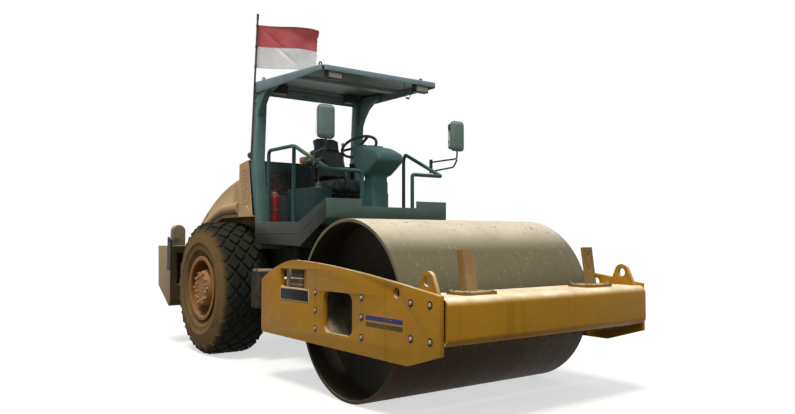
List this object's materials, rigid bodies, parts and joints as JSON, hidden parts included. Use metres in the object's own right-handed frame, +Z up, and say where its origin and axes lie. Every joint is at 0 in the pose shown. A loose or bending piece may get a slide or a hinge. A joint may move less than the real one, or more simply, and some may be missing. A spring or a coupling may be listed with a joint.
{
  "type": "single-drum road roller",
  "caption": "Articulated single-drum soil roller with a smooth steel drum, rear tyres, open platform, canopy, mirrors and a flag.",
  "frame": {"origin": "on the ground under the middle of the overall length and width", "axes": "+X forward towards the drum, +Y to the machine's left, +Z up"},
  "size_m": [5.766, 2.32, 3.845],
  "materials": {
    "ochre_paint": "satin, dusty",
    "slate_paint": "satin",
    "black_paint": "matte",
    "cast_engine": "rough",
    "black_plastic": "matte",
    "seat_vinyl": "grained",
    "red_paint": "gloss",
    "pole_wood": "bare",
    "flag_cloth": "woven",
    "rolled_steel": "dusty, rolled",
    "rod_chrome": "polished",
    "tyre_rubber": "dusty"
  },
  "bodies": {
    "rear_frame": {"chassis_rails": "black_paint", "hitch_head": "black_paint", "rear_axle": "black_paint", "engine_block": "cast_engine", "counterweight": "slate_paint", "tail_lamps": "black_plastic", "engine_shrouds": "ochre_paint", "hood_cowl": "ochre_paint", "rear_wall": "slate_paint", "rops_foot": "slate_paint", "rops_posts": "slate_paint", "canopy": "slate_paint", "canopy_eyes": "black_paint", "work_lamps": "black_plastic", "platform": "slate_paint", "platform_bearers": "black_paint", "access_steps": "slate_paint", "side_tanks": "black_paint", "handrail_right": "slate_paint", "handrail_left": "slate_paint", "mirror_arms": "black_paint", "mirror_heads": "black_plastic", "seat_frame": "black_paint", "seat_cushion": "seat_vinyl", "seat_back": "seat_vinyl", "side_console": "slate_paint", "console": "black_plastic", "fire_extinguisher": "red_paint", "air_intake": "ochre_paint", "flag_pole": "pole_wood", "flag": "flag_cloth"},
    "hinge_block": {"hinge_block": "black_paint"},
    "front_frame": {"side_plate_right": "ochre_paint", "side_plate_left": "ochre_paint", "front_beam": "ochre_paint", "rear_beam": "ochre_paint", "drum_carriers": "black_paint", "beam_lugs": "ochre_paint", "beam_posts": "ochre_paint", "scrapers": "rolled_steel"},
    "drum": {"drum": "rolled_steel"},
    "wheel_right": {"rim_right": "ochre_paint", "tyre_right": "tyre_rubber"},
    "wheel_left": {"rim_left": "ochre_paint", "tyre_left": "tyre_rubber"},
    "hood": {"hood": "ochre_paint"},
    "steering_wheel": {"steering_wheel": "black_plastic"},
    "steer_barrel_right": {"steer_barrel_right": "black_paint"},
    "steer_rod_right": {"steer_rod_right": "rod_chrome"},
    "steer_barrel_left": {"steer_barrel_left": "black_paint"},
    "steer_rod_left": {"steer_rod_left": "rod_chrome"}
  },
  "joints": [
    {"name": "frame_steer", "type": "hinge", "parent": "rear_frame", "child": "hinge_block", "pos_m": [-0.027, 0, 0.75], "axis": [0, 0, 1], "range_deg": [-33, 33]},
    {"name": "frame_oscillate", "type": "hinge", "parent": "hinge_block", "child": "front_frame", "pos_m": [-0.027, 0, 0.75], "axis": [1, 0, 0], "range_deg": [-10, 10]},
    {"name": "drum_roll", "type": "hinge", "parent": "front_frame", "child": "drum", "pos_m": [1.573, 0, 0.75], "axis": [0, 1, 0], "continuous": true},
    {"name": "wheel_right_roll", "type": "hinge", "parent": "rear_frame", "child": "wheel_right", "pos_m": [-1.477, -0.81, 0.76], "axis": [0, 1, 0], "continuous": true},
    {"name": "wheel_left_roll", "type": "hinge", "parent": "rear_frame", "child": "wheel_left", "pos_m": [-1.477, 0.81, 0.76], "axis": [0, 1, 0], "continuous": true},
    {"name": "hood_lift", "type": "hinge", "parent": "rear_frame", "child": "hood", "pos_m": [-1.232, 0, 2.09], "axis": [0, 1, 0], "range_deg": [0, 50]},
    {"name": "steering_wheel_turn", "type": "hinge", "parent": "rear_frame", "child": "steering_wheel", "pos_m": [0.173, 0, 2.31], "axis": [-0.5, 0, 0.866], "continuous": true},
    {"name": "barrel_left_swing", "type": "hinge", "parent": "rear_frame", "child": "steer_barrel_left", "pos_m": [-0.627, 0.29, 0.665], "axis": [0, 0, 1], "range_deg": [-4, 4]},
    {"name": "rod_left_slide", "type": "slide", "parent": "steer_barrel_left", "child": "steer_rod_left", "axis": [0.9984, -0.0571, 0], "range_m": [-0.15, 0.15]},
    {"name": "barrel_right_swing", "type": "hinge", "parent": "rear_frame", "child": "steer_barrel_right", "pos_m": [-0.627, -0.29, 0.665], "axis": [0, 0, 1], "range_deg": [-4, 4]},
    {"name": "rod_right_slide", "type": "slide", "parent": "steer_barrel_right", "child": "steer_rod_right", "axis": [0.9984, 0.0571, 0], "range_m": [-0.15, 0.15]}
  ],
  "couplings": [
    {"joint": "barrel_left_swing", "follows": "frame_steer", "ratio": 0.1006},
    {"joint": "rod_left_slide", "follows": "frame_steer", "m_per_rad": -0.2455},
    {"joint": "barrel_right_swing", "follows": "frame_steer", "ratio": 0.1006},
    {"joint": "rod_right_slide", "follows": "frame_steer", "m_per_rad": 0.2455}
  ]
}
